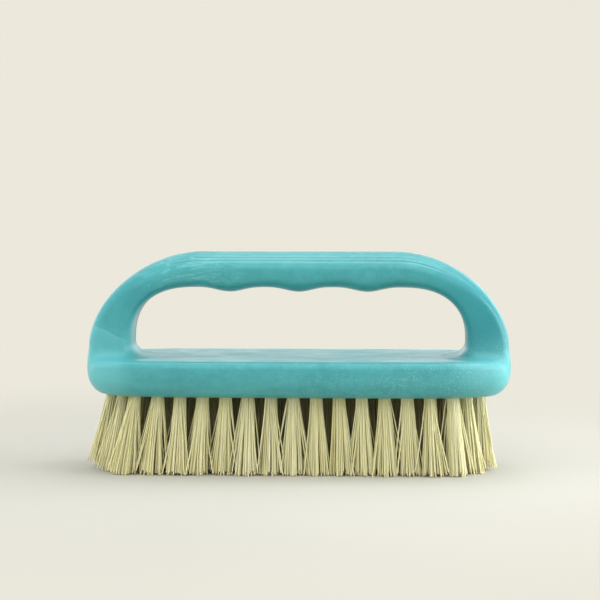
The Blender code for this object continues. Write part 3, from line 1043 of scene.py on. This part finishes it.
def filament_line(rng, share, turn, spread, clumps):
    """Root and tip of one filament, from the tuft's axis, and the power of its bend."""
    root = Vector((math.cos(turn), math.sin(turn))) * TUFT_RADIUS * math.sqrt(share)
    tip = Vector((root.x * spread, root.y * (1 + (spread - 1) * SIDE_SPREAD_SHARE)))
    clump = min(clumps, key=lambda c: (c - tip).length)
    tip = tip.lerp(clump, CLUMP_PULL)
    tip += Vector((rng.gauss(0, TIP_SCATTER), rng.gauss(0, TIP_SCATTER)))
    bend = rng.uniform(*BEND_RANGE)
    if rng.random() < STRAY_SHARE:
        side = rng.choice((-1, 1))
        root.x = side * abs(root.x)
        tip.x = root.x + side * rng.uniform(*STRAY_REACH)
        tip.y += rng.gauss(0, STRAY_SCATTER)
        bend = rng.uniform(*STRAY_BEND_RANGE)
    return root, tip, bend


def tip_height(rng, x):
    """Height of a filament's end over the floor, for its place along the brush."""
    left = (LEFT_SPLAY_X - x) * LEFT_SPLAY_RISE
    right = (x - RIGHT_SPLAY_X) * RIGHT_SPLAY_RISE
    height = max(0, left, right) + TIP_RISE * rng.random() ** TIP_RISE_POWER
    if rng.random() < SHORT_SHARE:
        height += rng.uniform(*SHORT_RISE)
    return height


def filament_faces(base):
    """Faces of the tube whose points start at this number: its sides and both ends."""
    faces = []
    for k in range(FILAMENT_STEPS):
        low = base + k * FILAMENT_SIDES
        high = low + FILAMENT_SIDES
        for s in range(FILAMENT_SIDES):
            after = (s + 1) % FILAMENT_SIDES
            faces.append((low + after, low + s, high + s, high + after))
    end = base + FILAMENT_STEPS * FILAMENT_SIDES
    faces.append(tuple(range(base, base + FILAMENT_SIDES)))
    faces.append(tuple(end + s for s in reversed(range(FILAMENT_SIDES))))
    return faces


def make_row(row, name, material):
    """One row of tufts as a single mesh of filaments."""
    rng = random.Random(SEED + row)
    points, faces, shades, painted_shade_values = [], [], [], []
    for x, y in row_places(row):
        end_x = FIELD_HALF - ROW_STEP_IN * abs(row) - END_MARGIN
        at_rim = abs(row) == OUTER_ROW or abs(x - FIELD_SHIFT) > end_x
        # Painted shade for the inner rows, where the tufts shade each other
        inside = 0 if at_rim else INNER_PAINTED_SHADE
        count = FILAMENTS if at_rim else INNER_FILAMENTS
        radius = FILAMENT_RADIUS if at_rim else INNER_FILAMENT_RADIUS
        lean_x, lean_y = slopes_at(x, y)
        lean_x += rng.gauss(0, LEAN_SCATTER_X)
        lean_y += rng.gauss(0, LEAN_SCATTER_Y)
        spread = TIP_SPREAD * rng.uniform(*SPREAD_RANGE)
        tuft_shade = rng.gauss(*TUFT_SHADE)
        first_turn = rng.uniform(0, math.tau)
        clumps = tip_clumps(first_turn, spread)
        for n in range(count):
            share, turn = (n + 0.5) / count, first_turn + n * GOLDEN_TURN
            root, tip, bend = filament_line(rng, share, turn, spread, clumps)
            wave = rng.gauss(0, WAVE)
            phase = rng.uniform(0, math.tau)
            shade = min(max(tuft_shade + rng.gauss(0, FILAMENT_SHADE_SCATTER), 0), 1)
            tip_x = x + tip.x + lean_x * UNDERSIDE_Z
            tip.x += max(0, LEFT_HOLD_X - tip_x) * LEFT_HOLD_SHARE
            start_z = UNDERSIDE_Z + ROOT_RISE
            end_z = tip_height(rng, x + tip.x + lean_x * UNDERSIDE_Z)
            faces += filament_faces(len(points))
            for k in range(FILAMENT_STEPS + 1):
                t = k / FILAMENT_STEPS
                g = t**bend
                z = start_z + (end_z - start_z) * t
                drop = UNDERSIDE_Z - z
                sway = wave * math.sin(phase + WAVE_TURN * t) * t
                cx = x + root.x + (tip.x - root.x) * g + lean_x * drop + sway
                cy = y + root.y + (tip.y - root.y) * g + lean_y * drop
                # Painted shade that grows towards the root, under the block
                deep = min(1, inside + ROOT_PAINTED_SHADE * (1 - t) ** ROOT_PAINTED_SHADE_POWER)
                points += circle(cx, cy, z, radius, FILAMENT_SIDES)
                shades += [shade] * FILAMENT_SIDES
                painted_shade_values += [deep] * FILAMENT_SIDES
    mesh = bpy.data.meshes.new(name)
    mesh.from_pydata(points, [], faces)
    mesh.attributes.new("shade", "FLOAT", "POINT").data.foreach_set("value", shades)
    # The painted shade is kept on the mesh as the value called inside
    mesh.attributes.new("inside", "FLOAT", "POINT").data.foreach_set("value", painted_shade_values)
    mesh.shade_smooth()
    mesh.set_sharp_from_angle(angle=FILAMENT_SHARP_ANGLE)
    return new_piece(name, mesh, material)


# Floor, light and camera


def make_floor():
    """A wide floor of rings round the brush, finer near it."""
    bm = bmesh.new()
    rings = bridge_rings(bm, [circle(0, 0, 0, radius, FLOOR_SIDES) for radius in FLOOR_RADII])
    bm.faces.new(rings[0])
    bmesh.ops.recalc_face_normals(bm, faces=bm.faces)
    mesh = bpy.data.meshes.new("floor")
    bm.to_mesh(mesh)
    bm.free()
    if mesh.polygons[0].normal.z < 0:
        mesh.flip_normals()
    floor = new_piece("floor", mesh, floor_paper())
    floor.location.z = FLOOR_Z


def add_lamp(name, place, size, power, colour, in_sheen):
    light = bpy.data.lights.new(name, "AREA")
    light.shape = "RECTANGLE"
    light.size, light.size_y = size
    light.energy = power
    light.color = colour
    lamp = bpy.data.objects.new(name, light)
    lamp.location = place
    lamp.rotation_mode = "QUATERNION"
    lamp.rotation_quaternion = (LAMP_AIM - Vector(place)).to_track_quat("-Z", "Y")
    lamp.visible_glossy = in_sheen
    bpy.context.scene.collection.objects.link(lamp)


def make_world():
    """Even light all round, a horizon for the sheen, and a plain background for the camera."""
    world = bpy.data.worlds.new("studio")
    bpy.context.scene.world = world
    world.use_nodes = True
    nodes, links = world.node_tree.nodes, world.node_tree.links
    lit = nodes["Background"]
    lit.inputs["Color"].default_value = (*STUDIO_COLOUR, 1)
    seen = add_node(nodes, "ShaderNodeBackground", Strength=1.0, Color=(*BACKGROUND, 1))
    path = nodes.new("ShaderNodeLightPath")
    split = split_place(nodes, links, "Generated")
    low = ramp(nodes, links, split.outputs["Z"], SHEEN_BY_HEIGHT, "EASE")
    behind = math_node(nodes, links, "MULTIPLY_ADD", split.outputs["Y"], *SHEEN_BY_DEPTH)
    level = product(nodes, links, low, behind, path.outputs["Is Glossy Ray"])
    level = math_node(nodes, links, "ADD", level, STUDIO_LEVEL)
    links.new(level, lit.inputs["Strength"])
    both = mix_shaders(nodes, links, path.outputs["Is Camera Ray"], lit, seen)
    links.new(both, nodes["World Output"].inputs["Surface"])


def make_camera():
    camera = bpy.data.objects.new("camera", bpy.data.cameras.new("camera"))
    bpy.context.scene.collection.objects.link(camera)
    camera.data.lens = LENS
    camera.data.sensor_width = SENSOR
    back = Vector(
        (
            math.sin(AZIMUTH) * math.cos(PITCH),
            -math.cos(AZIMUTH) * math.cos(PITCH),
            math.sin(PITCH),
        )
    )
    camera.location = AIM + back * DISTANCE
    camera.rotation_mode = "QUATERNION"
    camera.rotation_quaternion = (-back).to_track_quat("-Z", "Y")
    camera.data.clip_start = CLIP_NEAR
    camera.data.clip_end = CLIP_FAR
    bpy.context.scene.camera = camera


def main():
    make_camera()
    make_world()
    make_floor()
    for lamp in LAMPS:
        add_lamp(*lamp)
    bpy.context.scene.view_settings.view_transform = "Standard"

    teal, cream = teal_plastic(), cream_bristle()
    body = make_body(teal)
    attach(body, "root")
    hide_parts("brush_body")
    for row, (name, side) in ROWS.items():
        piece = make_row(row, name, cream)
        if abs(row) == OUTER_ROW:
            count = len(row_places(row))
            nodes = [f"tuft_{side}_{i:02d}" for i in range(1, count + 1)]
        else:
            nodes = [f"tuft_left_{side}", f"tuft_right_{side}", f"tufts_inner_{side}"]
        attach(piece, "root")
        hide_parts(*nodes)


main()
